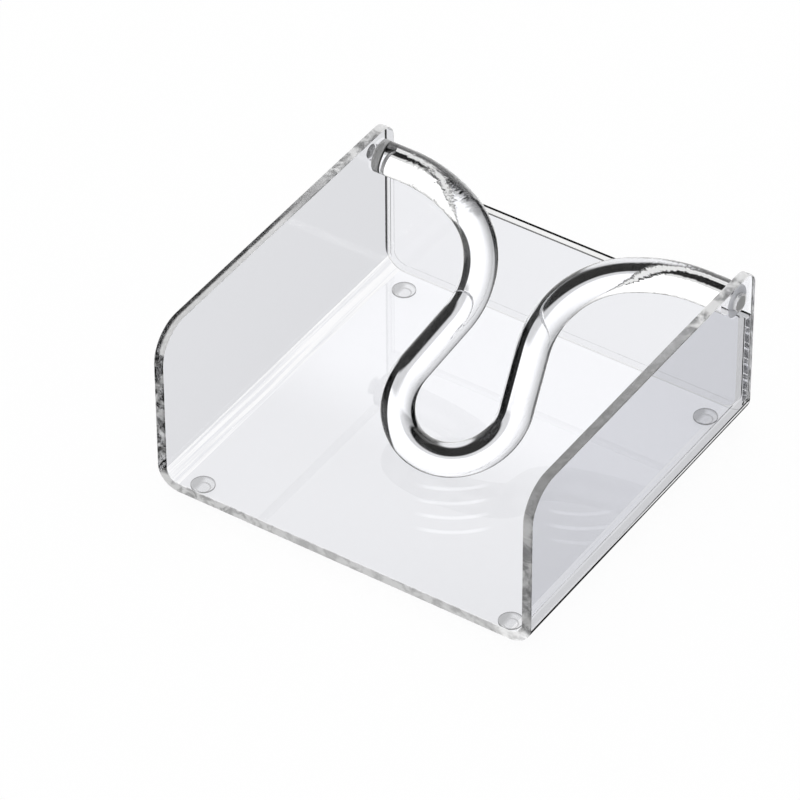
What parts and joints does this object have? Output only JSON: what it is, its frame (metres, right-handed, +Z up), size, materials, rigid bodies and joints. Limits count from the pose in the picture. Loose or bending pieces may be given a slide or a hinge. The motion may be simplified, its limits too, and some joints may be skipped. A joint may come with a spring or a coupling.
{
  "type": "napkin holder",
  "caption": "Clear napkin holder: a bent sheet tray, open at the front, with a low back and a looped rod arm that swings between the walls and weighs a flat stack of napkins down.",
  "frame": {"origin": "centre of the holder's footprint, on the table that its feet stand on", "axes": "+X to the right seen from the open front, +Y from the open front to the back panel, +Z up"},
  "size_m": [0.1398, 0.1302, 0.0635],
  "materials": {
    "clear_sheet": "clear cast acrylic sheet, flame-polished edges",
    "clear_rod": "clear acrylic rod, glossy along its length, turned matte ends",
    "clear_bumper": "clear soft bumper, satin"
  },
  "bodies": {
    "holder": {"tray": "clear_sheet", "back_panel": "clear_sheet", "foot_front_left": "clear_bumper", "foot_front_right": "clear_bumper", "foot_rear_left": "clear_bumper", "foot_rear_right": "clear_bumper"},
    "arm": {"arm": "clear_rod"}
  },
  "joints": [
    {"name": "arm_swing", "type": "hinge", "parent": "holder", "child": "arm", "pos_m": [0, 0.0566, 0.055], "axis": [-1, 0, 0], "range_deg": [0, 237]}
  ]
}
